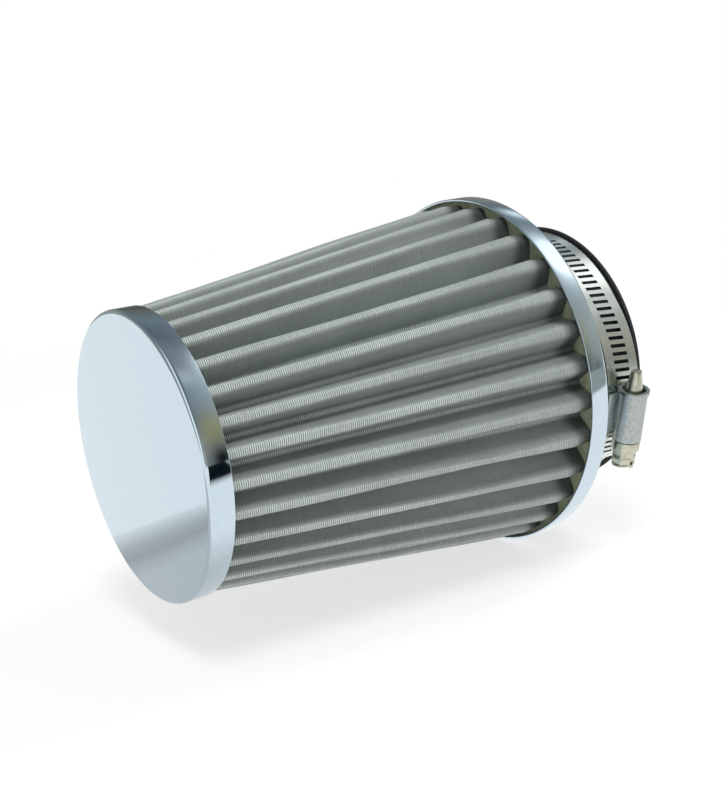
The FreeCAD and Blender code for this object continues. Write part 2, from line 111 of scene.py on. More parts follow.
# Look of the cloth. Its painted tones and its painted highlight lines run over one fold, from valley (0)
# to ridge (1).
WIRE_PITCH = 0.65 * MM
CROSS_PITCH = 0.42 * MM
WEAVE_DEPTH = 0.0002
RIDGE_POWER = 40
# Painted light and shade across each fold: lighter over the faces towards the valley against its shade,
# darker on the ridges' shoulders against their shading.
FOLD_PAINTED_SHADE = [(0.0, 0.40), (0.25, 0.445), (0.60, 0.42), (0.85, 0.35), (1.0, 0.36)]
# Painted highlight lines along each ridge and each valley bottom, how much they brighten the cloth, and
# how strongly the weave's stripes show on them and on the faces.
FOLD_HIGHLIGHT_LINES = [(0.0, 1.0), (0.010, 1.0), (0.025, 0.0), (0.955, 0.0), (0.985, 1.0), (1.0, 1.0)]
HIGHLIGHT_LIFT = 0.27
HIGHLIGHT_STRIPES, FACE_STRIPES = 0.75, 0.06
STRAND_SPREAD = 0.16
# Painted glints on the brightest strands: the strand level above which they start, and their gain.
GLINT_LIMIT, GLINT_GAIN = 0.62, 1.6
MOTTLE_SPREAD = 0.12

# Axis of the clamp's screw
SCREW_TURN = math.radians(194.8)
SCREW_PLACE = Vector((-9.2, 50.7 * math.cos(SCREW_TURN), 50.7 * math.sin(SCREW_TURN))) * MM
SCREW_AXIS = Vector((0, math.sin(SCREW_TURN), -math.cos(SCREW_TURN)))
COLLAR_RADIUS = 4.65 * MM

# The photograph's camera, in the part's own frame
PHOTO_SIZE = (728, 800)
FOCAL_PIXELS = 1337
CAMERA_PLACE = Vector((-312.3, -360.2, 106.6)) * MM
CAMERA_FORWARD = Vector((0.5239, 0.8168, -0.2416))
CAMERA_DOWN = Vector((-0.2137, -0.1485, -0.9655))

# Floor and light
MIDDLE_X = -0.07
FLOOR_HALF = 3.0
FLOOR_DROP = 0.2 * MM
FLOOR_FADE = (0.15, 0.6)
FLOOR_NEAR_GLOW = 0.7
FILL_COLOUR = (0.95, 0.98, 1, 1)
FILL_STRENGTH = 0.55

# What the mirror surfaces show. The room's tones run from horizon to zenith. A patch or a glow is
# (azimuth, elevation, half width, strength, colour), its angles in degrees: azimuth 0 is the front
# and 90 is the neck's side. A film on the floor has corners (X, Y), densities from front to back,
# and the shares of them from side to side.
ROOM_TONES = [
    (0.0, (0.36, 0.37, 0.35)), (0.10, (0.37, 0.37, 0.34)), (0.34, (0.33, 0.34, 0.32)),
    (0.52, (0.19, 0.21, 0.22)), (0.75, (0.19, 0.23, 0.26)), (0.92, (0.13, 0.15, 0.17)),
    (1.0, (0.20, 0.22, 0.24))]
ROOM_PATCHES = [
    (26, 21, 11, 1.0, (0.32, 0.29, 0.15)), (25, 1, 9, 1.0, (0.003, 0.006, 0.008)),
    (157, 12, 14, 0.85, (0.05, 0.045, 0.035)), (42, -1, 4, 0.6, (0.05, 0.045, 0.04))]
ROOM_GLOWS = [
    (78, 47, 9, 2.2, (1, 1, 0.97)), (66, 42, 22, 0.36, (1, 1, 0.97)),
    (35, 62, 6, 0.25, (0.9, 0.95, 1)), (125, 38, 4, 0.8, (0.9, 0.95, 1)),
    (-58, 8, 13, 0.9, (0.95, 0.98, 1)), (-70, 30, 13, 0.9, (0.95, 0.98, 1)),
    (-84, 50, 12, 0.8, (0.95, 0.98, 1))]
# Painted shadow of the part on the floor behind it, a dark film seen only in mirror surfaces.
SHADOW_VEIL = [(-0.50, -0.075), (-0.06, -0.075), (-0.06, 0.108), (-0.50, 0.092)]
SHADOW_VEIL_STOPS = [(0.0, 0.0), (0.2, 0.40), (0.70, 0.36), (0.81, 0.54), (0.87, 0.46), (1.0, 0.0)]
FRONT_VEIL = [(0.35, -2.36), (1.15, -2.36), (0.03, -0.24), (-0.2, -0.24)]
FRONT_VEIL_STOPS = [(0.0, 1.0), (0.95, 1.0), (1.0, 0.0)]
SIDE_VEIL = [(1.15, -2.36), (3.4, -2.36), (0.6, -0.26), (0.03, -0.26)]
SIDE_VEIL_STOPS = [(0.0, 1.0), (0.985, 1.0), (1.0, 0.0)]
SOFT_SIDES = [(0.0, 0.0), (0.35, 1.0), (0.75, 1.0), (1.0, 0.0)]
PLAIN_SIDES = [(0.0, 1.0), (1.0, 1.0)]
VEIL_LIFT = 0.4 * MM
DARK_VEIL = (0.006, 0.009, 0.012)
GREY_VEIL = (0.36, 0.38, 0.36)


# Camera, floor and light
def add_camera():
    """Camera at the photograph's place, direction, roll and focal length."""
    data = bpy.data.cameras.new("photo_camera")
    data.sensor_fit = "HORIZONTAL"
    data.sensor_width = 36
    data.lens = FOCAL_PIXELS / PHOTO_SIZE[0] * data.sensor_width
    data.clip_start = 0.01
    data.clip_end = 50
    camera = bpy.data.objects.new("photo_camera", data)
    back = -CAMERA_FORWARD.normalized()
    up = -CAMERA_DOWN
    right = up.cross(back).normalized()
    up = back.cross(right)
    turn = Matrix((right, up, back)).transposed()
    camera.matrix_world = Matrix.Translation(CAMERA_PLACE) @ turn.to_4x4()
    bpy.context.collection.objects.link(camera)
    bpy.context.scene.camera = camera


def new_material(name):
    """Empty node material and its Principled shader."""
    material = bpy.data.materials.new(name)
    material.use_nodes = True
    nodes = material.node_tree.nodes
    return material, nodes, material.node_tree.links, nodes["Principled BSDF"]


def add_node(nodes, kind, **values):
    """Node with its properties set by name."""
    node = nodes.new(kind)
    for key, item in values.items():
        setattr(node, key, item)
    return node


def math_node(nodes, links, operation, first, second=None):
    """Math node; an input is a number or a socket."""
    node = add_node(nodes, "ShaderNodeMath", operation=operation)
    for index, item in enumerate((first, second)):
        if item is None:
            continue
        if isinstance(item, (int, float)):
            node.inputs[index].default_value = item
        else:
            links.new(item, node.inputs[index])
    return node.outputs[0]


def smooth_range(nodes, links, source, start, end, low, high):
    """Ease from one value to another between two places."""
    node = add_node(nodes, "ShaderNodeMapRange", interpolation_type="SMOOTHSTEP")
    node.inputs["From Min"].default_value = start
    node.inputs["From Max"].default_value = end
    node.inputs["To Min"].default_value = low
    node.inputs["To Max"].default_value = high
    links.new(source, node.inputs["Value"])
    return node.outputs["Result"]


def add_floor():
    """Pale floor with a soft shadow under the part, white further off and in mirrors."""
    size = FLOOR_HALF
    drop = cad_box[0][2] - FLOOR_DROP
    mesh = bpy.data.meshes.new("floor")
    corners = [(-size, -size, drop), (size, -size, drop), (size, size, drop), (-size, size, drop)]
    mesh.from_pydata(corners, [], [(0, 1, 2, 3)])
    floor = bpy.data.objects.new("floor", mesh)
    bpy.context.collection.objects.link(floor)
    material, nodes, links, shader = new_material("floor_white")
    shader.inputs["Base Color"].default_value = (0.92, 0.92, 0.92, 1)
    shader.inputs["Roughness"].default_value = 0.9
    glow = add_node(nodes, "ShaderNodeEmission")
    mix = add_node(nodes, "ShaderNodeMixShader")
    path = add_node(nodes, "ShaderNodeLightPath")
    place = add_node(nodes, "ShaderNodeTexCoord")
    reach = add_node(nodes, "ShaderNodeVectorMath", operation="DISTANCE")
    links.new(place.outputs["Object"], reach.inputs[0])
    reach.inputs[1].default_value = (MIDDLE_X, 0, drop)
    far = smooth_range(nodes, links, reach.outputs["Value"], *FLOOR_FADE, FLOOR_NEAR_GLOW, 1.0)
    seen = math_node(nodes, links, "MULTIPLY", path.outputs["Is Camera Ray"], far)
    seen = math_node(nodes, links, "MAXIMUM", seen, path.outputs["Is Glossy Ray"])
    seen = math_node(nodes, links, "MAXIMUM", seen, path.outputs["Is Transmission Ray"])
    links.new(seen, mix.inputs[0])
    links.new(shader.outputs[0], mix.inputs[1])
    links.new(glow.outputs[0], mix.inputs[2])
    links.new(mix.outputs[0], nodes["Material Output"].inputs[0])
    mesh.materials.append(material)


def add_world():
    """White background for the camera and for mirrors, softer light for everything else."""
    world = bpy.data.worlds.new("studio")
    bpy.context.scene.world = world
    world.use_nodes = True
    nodes, links = world.node_tree.nodes, world.node_tree.links
    shown = nodes["Background"]
    shown.inputs["Color"].default_value = (1, 1, 1, 1)
    shown.inputs["Strength"].default_value = 1
    lit = add_node(nodes, "ShaderNodeBackground")
    lit.inputs["Color"].default_value = FILL_COLOUR
    lit.inputs["Strength"].default_value = FILL_STRENGTH
    path = add_node(nodes, "ShaderNodeLightPath")
    seen = math_node(nodes, links, "MAXIMUM", path.outputs["Is Camera Ray"], path.outputs["Is Glossy Ray"])
    seen = math_node(nodes, links, "MAXIMUM", seen, path.outputs["Is Transmission Ray"])
    mix = add_node(nodes, "ShaderNodeMixShader")
    links.new(seen, mix.inputs[0])
    links.new(lit.outputs[0], mix.inputs[1])
    links.new(shown.outputs[0], mix.inputs[2])
    links.new(mix.outputs[0], nodes["World Output"].inputs[0])


def add_lamp(name, place, target, size, power, colour=(1, 1, 1)):
    """Square soft lamp that faces a target."""
    data = bpy.data.lights.new(name, "AREA")
    data.shape = "SQUARE"
    data.size = size
    data.energy = power
    data.color = colour
    lamp = bpy.data.objects.new(name, data)
    lamp.visible_glossy = False
    lamp.location = place
    lamp.rotation_euler = (Vector(target) - Vector(place)).to_track_quat("-Z", "Y").to_euler()
    bpy.context.collection.objects.link(lamp)


def mirror_only(board):
    """Let a board be seen only in mirror surfaces."""
    for ray in ("camera", "diffuse", "transmission", "shadow", "volume_scatter"):
        setattr(board, "visible_" + ray, False)
    bpy.context.collection.objects.link(board)


def colour_ramp(nodes, links, source, stops):
    """Colour ramp over a 0 to 1 factor, from (position, colour) stops."""
    ramp = add_node(nodes, "ShaderNodeValToRGB")
    bands = ramp.color_ramp.elements
    while len(bands) < len(stops):
        bands.new(1)
    for band, (position, colour) in zip(bands, stops):
        band.position = position
        band.color = (*colour, 1)
    links.new(source, ramp.inputs["Fac"])
    return ramp.outputs["Color"]


def grey_stops(stops):
    """Stops of a ramp that carries a number instead of a colour."""
    return [(position, (level,) * 3) for position, level in stops]


def ramp_along(nodes, links, axis, low, high, stops):
    """Colour ramp that runs along one axis between two places."""
    place = add_node(nodes, "ShaderNodeTexCoord")
    split = add_node(nodes, "ShaderNodeSeparateXYZ")
    links.new(place.outputs["Object"], split.inputs[0])
    along = add_node(nodes, "ShaderNodeMapRange")
    along.inputs["From Min"].default_value = low
    along.inputs["From Max"].default_value = high
    links.new(split.outputs[axis], along.inputs["Value"])
    return colour_ramp(nodes, links, along.outputs["Result"], stops)


def room_spot(nodes, links, azimuth, elevation, width):
    """Soft round patch of the room, 1 in its middle and half that at its half width."""
    side, rise = math.radians(azimuth), math.radians(elevation)
    place = add_node(nodes, "ShaderNodeTexCoord")
    unit = add_node(nodes, "ShaderNodeVectorMath", operation="NORMALIZE")
    links.new(place.outputs["Object"], unit.inputs[0])
    facing = add_node(nodes, "ShaderNodeVectorMath", operation="DOT_PRODUCT")
    links.new(unit.outputs["Vector"], facing.inputs[0])
    facing.inputs[1].default_value = (
        math.sin(side) * math.cos(rise), -math.cos(side) * math.cos(rise), math.sin(rise))
    front = math_node(nodes, links, "MAXIMUM", facing.outputs["Value"], 0)
    sharpness = math.log(0.5) / math.log(math.cos(math.radians(width)))
    return math_node(nodes, links, "POWER", front, sharpness)


def add_dome():
    """Room above the floor: grey at the horizon, darker slate higher up, seen only in mirror surfaces."""
    radius, segments, rings = 2.4, 64, 32
    floor_z = cad_box[0][2]
    vertices, faces = [], []
    for ring in range(rings + 1):
        rise = math.pi / 2 * ring / rings
        flat = radius * math.cos(rise)
        height = radius * math.sin(rise) + floor_z
        for step in range(segments):
            turn = 2 * math.pi * step / segments
            vertices.append((flat * math.cos(turn), flat * math.sin(turn), height))
    for ring in range(rings):
        for step in range(segments):
            after = (step + 1) % segments
            a, b = ring * segments + step, ring * segments + after
            faces.append((a, b, b + segments, a + segments))
    mesh = bpy.data.meshes.new("room_dome")
    mesh.from_pydata(vertices, [], faces)
    material, nodes, links, _ = new_material("room_tones")
    colour = ramp_along(nodes, links, "Z", floor_z, floor_z + radius, ROOM_TONES)
    for blend, spots in (("MIX", ROOM_PATCHES), ("ADD", ROOM_GLOWS)):
        for azimuth, elevation, width, strength, tint in spots:
            mix = add_node(nodes, "ShaderNodeMixRGB", blend_type=blend)
            spot = room_spot(nodes, links, azimuth, elevation, width)
            links.new(math_node(nodes, links, "MULTIPLY", spot, strength), mix.inputs["Fac"])
            links.new(colour, mix.inputs["Color1"])
            mix.inputs["Color2"].default_value = (*tint, 1)
            colour = mix.outputs["Color"]
    glow = add_node(nodes, "ShaderNodeEmission")
    links.new(colour, glow.inputs["Color"])
    links.new(glow.outputs[0], nodes["Material Output"].inputs[0])
    mesh.materials.append(material)
    mirror_only(bpy.data.objects.new("room_dome", mesh))


def add_veil(name, corners, stops, sides, colour):
    """Film on the floor, seen only in mirror surfaces; the dark one behind the part is a painted shadow.
    """
    height = cad_box[0][2] + VEIL_LIFT
    x0, x1 = min(x for x, _ in corners), max(x for x, _ in corners)
    y0, y1 = corners[0][1], max(corners[2][1], corners[3][1])
    mesh = bpy.data.meshes.new(name)
    mesh.from_pydata([(x, y, height) for x, y in corners], [], [(0, 1, 2, 3)])
    material, nodes, links, _ = new_material(name)
    clear = add_node(nodes, "ShaderNodeBsdfTransparent")
    dark = add_node(nodes, "ShaderNodeEmission")
    dark.inputs["Color"].default_value = (*colour, 1)
    mix = add_node(nodes, "ShaderNodeMixShader")
    density = ramp_along(nodes, links, "Y", y0, y1, grey_stops(stops))
    breadth = ramp_along(nodes, links, "X", x0, x1, grey_stops(sides))
    links.new(math_node(nodes, links, "MULTIPLY", density, breadth), mix.inputs[0])
    links.new(clear.outputs[0], mix.inputs[1])
    links.new(dark.outputs[0], mix.inputs[2])
    links.new(mix.outputs[0], nodes["Material Output"].inputs[0])
    mesh.materials.append(material)
    mirror_only(bpy.data.objects.new(name, mesh))


# Materials
def noise_bump(nodes, links, shader, scale, strength, distance, detail=4):
    """Fine uneven surface."""
    place = add_node(nodes, "ShaderNodeTexCoord")
    grain = add_node(nodes, "ShaderNodeTexNoise")
    grain.inputs["Scale"].default_value = scale
    grain.inputs["Detail"].default_value = detail
    links.new(place.outputs["Object"], grain.inputs["Vector"])
    bump = add_node(nodes, "ShaderNodeBump")
    bump.inputs["Strength"].default_value = strength
    bump.inputs["Distance"].default_value = distance
    links.new(grain.outputs["Fac"], bump.inputs["Height"])
    links.new(bump.outputs["Normal"], shader.inputs["Normal"])
    return grain


def ranged(nodes, links, source, low, high):
    """Map a 0 to 1 factor to a range."""
    node = add_node(nodes, "ShaderNodeMapRange")
    node.inputs["To Min"].default_value = low
    node.inputs["To Max"].default_value = high
    links.new(source, node.inputs["Value"])
    return node.outputs["Result"]


def two_tone(nodes, links, factor, shader, dark, light, low=0.35, high=0.65):
    """Colour that varies between two tones."""
    colour = colour_ramp(nodes, links, factor, [(low, dark), (high, light)])
    links.new(colour, shader.inputs["Base Color"])


def metal(name, dark, light, rough, grain_scale, bump, distance):
    """Plated or rolled metal with a little variation in colour, gloss and surface."""
    material, nodes, links, shader = new_material(name)
    shader.inputs["Metallic"].default_value = 1
    grain = noise_bump(nodes, links, shader, grain_scale, bump, distance)
    two_tone(nodes, links, grain.outputs["Fac"], shader, dark, light)
    links.new(ranged(nodes, links, grain.outputs["Fac"], *rough), shader.inputs["Roughness"])
    return material


def resin_material():
    """Olive cast resin, slightly mottled, with a soft gloss."""
    material, nodes, links, shader = new_material("olive_resin")
    shader.inputs["Specular IOR Level"].default_value = 0.4
    grain = noise_bump(nodes, links, shader, 260, 0.35, 0.0006)
    two_tone(nodes, links, grain.outputs["Fac"], shader, (0.28, 0.31, 0.20), (0.40, 0.44, 0.30))
    links.new(ranged(nodes, links, grain.outputs["Fac"], 0.35, 0.6), shader.inputs["Roughness"])
    return material


def rubber_material():
    """Black moulded rubber with a faint bloom."""
    material, nodes, links, shader = new_material("black_rubber")
    shader.inputs["Specular IOR Level"].default_value = 0.45
    grain = noise_bump(nodes, links, shader, 900, 0.2, 0.0002)
    two_tone(nodes, links, grain.outputs["Fac"], shader, (0.012, 0.013, 0.015), (0.03, 0.031, 0.034))
    links.new(ranged(nodes, links, grain.outputs["Fac"], 0.42, 0.6), shader.inputs["Roughness"])
    return material


def cloth_material(fold_length):
    """Woven wire: stout wires across the pleats, finer ones along them. Painted light in its colour:
    highlight lines on the ridges and valley bottoms, glints on stray strands, tones across each fold
    against the fold's shading, and a darker band at the base end that is partly resin wetting and partly
    painted shade.
    """
    material, nodes, links, shader = new_material("wire_cloth")
    shader.inputs["Metallic"].default_value = 0.35
    uv = add_node(nodes, "ShaderNodeUVMap", uv_map="weave")
    split = add_node(nodes, "ShaderNodeSeparateXYZ")
    links.new(uv.outputs["UV"], split.inputs[0])

    def joined(operation, first, second):
        return math_node(nodes, links, operation, first, second)

    def wave(socket, pitch, shift=0.0):
        phase = joined("ADD", joined("MULTIPLY", socket, 2 * math.pi / pitch), shift)
        swing = math_node(nodes, links, "SINE", phase)
        return joined("ADD", joined("MULTIPLY", swing, 0.5), 0.5)

    across = wave(split.outputs["Y"], WIRE_PITCH)
    along = wave(split.outputs["X"], CROSS_PITCH)
    fold = wave(split.outputs["X"], fold_length, math.pi / 2)
    ridge = joined("POWER", fold, RIDGE_POWER)
    height = joined("ADD", across, joined("MULTIPLY", along, 0.3))
    bump = add_node(nodes, "ShaderNodeBump")
    bump.inputs["Distance"].default_value = WEAVE_DEPTH
    links.new(joined("ADD", joined("MULTIPLY", ridge, 0.65), 0.35), bump.inputs["Strength"])
    links.new(height, bump.inputs["Height"])
    links.new(bump.outputs["Normal"], shader.inputs["Normal"])

    place = add_node(nodes, "ShaderNodeTexCoord")
    mottle = add_node(nodes, "ShaderNodeTexNoise")
    mottle.inputs["Scale"].default_value = 70
    mottle.inputs["Detail"].default_value = 5
    links.new(place.outputs["Object"], mottle.inputs["Vector"])
    stretch = add_node(nodes, "ShaderNodeMapping")
    stretch.inputs["Scale"].default_value = (160, 2400, 1)
    links.new(uv.outputs["UV"], stretch.inputs["Vector"])
    strand = add_node(nodes, "ShaderNodeTexNoise")
    strand.inputs["Scale"].default_value = 1
    strand.inputs["Detail"].default_value = 2
    links.new(stretch.outputs["Vector"], strand.inputs["Vector"])
    single = joined("MULTIPLY", joined("SUBTRACT", strand.outputs["Fac"], 0.5), STRAND_SPREAD)
    # Painted glints: strands above the limit get extra brightness, in patches.
    excess = joined("MAXIMUM", joined("SUBTRACT", strand.outputs["Fac"], GLINT_LIMIT), 0)
    wire_glint = joined("MULTIPLY", excess, GLINT_GAIN)
    single = joined("ADD", single, joined("MULTIPLY", wire_glint, mottle.outputs["Fac"]))
    uneven = joined("MULTIPLY", joined("SUBTRACT", mottle.outputs["Fac"], 0.5), MOTTLE_SPREAD)

    axial = add_node(nodes, "ShaderNodeSeparateXYZ")
    links.new(place.outputs["Object"], axial.inputs[0])
    front = RING_LOW[0]
    # The painted highlight lines fade towards the base ring.
    highlight_fade = smooth_range(nodes, links, axial.outputs["X"], front - 70 * MM, front - 10 * MM, 1.0, 0.6)
    # The last few millimetres before the base ring darken, partly where resin wets the cloth and partly as
    # painted shade from the ring.
    resin_wet_and_shade = smooth_range(nodes, links, axial.outputs["X"], front - 5.5 * MM, front - 0.5 * MM, 1.0, 0.25)
    # Noise that makes the painted highlight lines patchy along each ridge.
    patches = add_node(nodes, "ShaderNodeMapping")
    patches.inputs["Scale"].default_value = (56, 22, 1)
    links.new(uv.outputs["UV"], patches.inputs["Vector"])
    highlight_breakup = add_node(nodes, "ShaderNodeTexNoise")
    highlight_breakup.inputs["Scale"].default_value = 1
    highlight_breakup.inputs["Detail"].default_value = 3
    links.new(patches.outputs["Vector"], highlight_breakup.inputs["Vector"])
    # Painted highlight lines on the ridges and valley bottoms.
    lines = colour_ramp(nodes, links, fold, grey_stops(FOLD_HIGHLIGHT_LINES))
    lines = joined("MULTIPLY", lines, ranged(nodes, links, highlight_breakup.outputs["Fac"], 0.1, 1.7))
    lines = joined("MULTIPLY", lines, highlight_fade)
    # The weave's stripes show far stronger on the painted highlight lines.
    depth = joined("ADD", joined("MULTIPLY", lines, HIGHLIGHT_STRIPES), FACE_STRIPES)
    depth = joined("MULTIPLY", depth, ranged(nodes, links, strand.outputs["Fac"], 0.2, 1.8))
    stripe = joined("MULTIPLY", joined("SUBTRACT", across, 0.5), depth)
    # Painted light and shade across the fold, with the painted highlight lines on top.
    tone = colour_ramp(nodes, links, fold, grey_stops(FOLD_PAINTED_SHADE))
    tone = joined("ADD", tone, joined("MULTIPLY", lines, HIGHLIGHT_LIFT))
    tone = joined("ADD", joined("ADD", tone, stripe), joined("ADD", uneven, single))
    # Darken the cloth near the base ring: resin wetting and painted shade.
    tone = joined("MULTIPLY", tone, resin_wet_and_shade)
    two_tone(nodes, links, tone, shader, (0.03, 0.037, 0.034), (0.76, 0.83, 0.79), 0.0, 1.0)
    links.new(ranged(nodes, links, mottle.outputs["Fac"], 0.38, 0.52), shader.inputs["Roughness"])
    return material


# Shapes
def finish_piece(piece, material, slot_name, body, *nodes):
    """Give a piece its material and body, and let it stand for CAD nodes."""
    piece.data.materials.clear()
    piece.data.materials.append(material)
    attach(piece, body)
    if nodes:
        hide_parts(*nodes)


def new_piece(name, vertices, faces, smooth=True):
    """Mesh object from points and faces."""
    mesh = bpy.data.meshes.new(name)
    mesh.from_pydata(vertices, [], faces)
    mesh.validate()
    mesh.polygons.foreach_set("use_smooth", [smooth] * len(mesh.polygons))
    piece = bpy.data.objects.new(name, mesh)
    bpy.context.collection.objects.link(piece)
    return piece


def rounded(corners, steps=6):
    """Closed outline from (x, radius, corner round) points, with each corner turned into an arc."""
    outline = []
    count = len(corners)
    for index, (x, r, turn) in enumerate(corners):
        here = Vector((x, r))
        if not turn:
            outline.append(here)
            continue
        before = (Vector(corners[index - 1][:2]) - here).normalized()
        after = (Vector(corners[(index + 1) % count][:2]) - here).normalized()
        half = before.angle(after) / 2
        reach = turn / math.tan(half)
        start, end = here + before * reach, here + after * reach
        centre = here + (before + after).normalized() * (turn / math.sin(half))
        first, last = start - centre, end - centre
        sweep = first.angle_signed(last)
        for step in range(steps + 1):
            spin = Matrix.Rotation(-sweep * step / steps, 2)
            outline.append(centre + spin @ first)
    return outline


def lathe(name, outline, segments=192):
    """Turn a closed outline about the X axis. Each point that lies on the axis becomes one vertex."""
    vertices, faces, rows = [], [], []
    for x, radius in outline:
        first = len(vertices)
        if radius == 0:
            vertices.append((x, 0, 0))
            rows.append([first] * segments)
            continue
        for step in range(segments):
            turn = 2 * math.pi * step / segments
            vertices.append((x, radius * math.cos(turn), radius * math.sin(turn)))
        rows.append(list(range(first, first + segments)))
    for row, following in zip(rows, rows[1:] + rows[:1]):
        for step in range(segments):
            after = (step + 1) % segments
            corners = dict.fromkeys((row[step], row[after], following[after], following[step]))
            if len(corners) > 2:
                faces.append(tuple(corners))
    return new_piece(name, vertices, faces)


def keep_edges_crisp(piece, degrees=40):
    """Shade a piece smooth, apart from its sharp edges."""
    for polygon in piece.data.polygons:
        polygon.use_smooth = True
    piece.data.set_sharp_from_angle(angle=math.radians(degrees))


def pleat_section(ridge_radius, depth, ridge_round, inset):
    """One pleat from ridge to ridge, as points of the plane with the ridge on the real axis."""
    half = math.pi / PLEATS
    ridge_centre = complex(ridge_radius - ridge_round, 0)
    valley_centre = (ridge_radius - depth + VALLEY_ROUND) * complex(math.cos(half), math.sin(half))
    run = valley_centre - ridge_centre
    heading = math.atan2(run.imag, run.real) - math.acos((ridge_round + VALLEY_ROUND) / abs(run))
    ridge_r, valley_r = ridge_round - inset, VALLEY_ROUND + inset
    ridge_steps, flat_steps, valley_steps = 6, 4, 5
    points = []
    for step in range(ridge_steps):
        turn = heading * step / ridge_steps
        points.append(ridge_centre + ridge_r * complex(math.cos(turn), math.sin(turn)))
    normal = complex(math.cos(heading), math.sin(heading))
    start, end = ridge_centre + ridge_r * normal, valley_centre - valley_r * normal
    for step in range(flat_steps):
        points.append(start + (end - start) * step / flat_steps)
    for step in range(valley_steps + 1):
        turn = heading + (half - heading) * step / valley_steps
        points.append(valley_centre - valley_r * complex(math.cos(turn), math.sin(turn)))
    pitch = complex(math.cos(2 * half), math.sin(2 * half))
    return points + [pitch * point.conjugate() for point in points[-2:0:-1]]


def pleat_stations(inset):
    """Fold sections, each with its place, from the cap to the crimped base end."""
    taper = (BASE_RIDGE - SKIRT_RIDGE) / (X_BASE - CAP_HIGH[0])
    cap_ridge = SKIRT_RIDGE + taper * (X_CAP - CAP_HIGH[0])
    mid_ridge = BASE_RIDGE + taper * (X_MID - X_BASE)
    crimp_ridge = BASE_RIDGE + taper * (X_CRIMP - X_BASE)
    crimped = PLEAT_DEPTH - CRIMP_DROP - CRIMP_LIFT
    return ((X_CAP, pleat_section(cap_ridge, PLEAT_DEPTH, CAP_RIDGE_ROUND, inset)),
            (X_MID, pleat_section(mid_ridge, PLEAT_DEPTH, MID_RIDGE_ROUND, inset)),
            (X_CRIMP, pleat_section(crimp_ridge, PLEAT_DEPTH, BASE_RIDGE_ROUND, inset)),
            (X_BASE, pleat_section(BASE_RIDGE - CRIMP_DROP, crimped, BASE_RIDGE_ROUND, inset)))


def fold_lengths():
    """Distance along the fold at each point of one pleat, from ridge to ridge."""
    section = pleat_stations(0.0)[1][1]
    pitch = complex(math.cos(2 * math.pi / PLEATS), math.sin(2 * math.pi / PLEATS))
    lengths = [0.0]
    for here, after in zip(section, section[1:] + [section[0] * pitch]):
        lengths.append(lengths[-1] + abs(after - here))
    return lengths


def pleat_cloth(lengths):
    """The folded cloth as one closed sheet, with slightly uneven folds between its fixed ends."""
    places = [X_CAP + (X_CRIMP - X_CAP) * row / LONG_ROWS for row in range(LONG_ROWS + 1)]
    places += [X_CRIMP + (X_BASE - X_CRIMP) * row / CRIMP_ROWS for row in range(1, CRIMP_ROWS + 1)]
    rows = len(places) - 1
    vertices, faces, weave, layer_starts = [], [], [], []
    for inset in (0.0, CLOTH_GAUGE):
        layer_starts.append(len(vertices))
        stations = pleat_stations(inset)
        for x in places:
            left, right = next(pair for pair in zip(stations, stations[1:]) if x <= pair[1][0] + 1e-9)
            share = (x - left[0]) / (right[0] - left[0])
            section = [a + (b - a) * share for a, b in zip(left[1], right[1])]
            run = min(1, max(0, (x - CAP_HIGH[0]) / (X_CRIMP - CAP_HIGH[0])))
            freedom = math.sin(math.pi * run) ** 0.7 if 0 < run < 1 else 0.0
            for pleat in range(PLEATS):
                turn = 2 * math.pi * pleat / PLEATS + PLEAT_PHASE
                seed = Vector((x * 20, pleat * 1.7, 0.3))
                sway = noise.noise(seed) * FOLD_SWAY * freedom
                swell = noise.noise(seed + Vector((0, 0, 9))) * FOLD_SWELL * freedom
                for point in section:
                    radius = abs(point) + swell
                    within = math.atan2(point.imag, point.real)
                    angle = within + turn + sway * math.cos(PLEATS / 2 * within)
                    vertices.append((x, radius * math.cos(angle), radius * math.sin(angle)))
    per_pleat = len(lengths) - 1
    around = per_pleat * PLEATS
    for layer, start in enumerate(layer_starts):
        for row in range(rows):
            v0, v1 = places[row] - X_CAP, places[row + 1] - X_CAP
            for column in range(around):
                a, b = start + row * around + column, start + row * around + (column + 1) % around
                c, d = b + around, a + around
                pleat, spot = divmod(column, per_pleat)
                u0 = pleat * lengths[-1] + lengths[spot]
                u1 = pleat * lengths[-1] + lengths[spot + 1]
                corners = [(u0, v0), (u1, v0), (u1, v1), (u0, v1)]
                faces.append((a, b, c, d) if layer == 0 else (d, c, b, a))
                weave.append(corners if layer == 0 else corners[::-1])
    outer, inner = layer_starts
    for row, flip in ((0, False), (rows, True)):
        for column in range(around):
            after = (column + 1) % around
            a, b = outer + row * around + column, outer + row * around + after
            c, d = inner + row * around + after, inner + row * around + column
            faces.append((a, b, c, d) if flip else (a, d, c, b))
            weave.append([(0, 0)] * 4)
    piece = new_piece("pleat_cloth", vertices, faces)
    layer = piece.data.uv_layers.new(name="weave")
    flat = [number for corners in weave for corner in corners for number in corner]
    layer.data.foreach_set("uv", flat)
    return piece


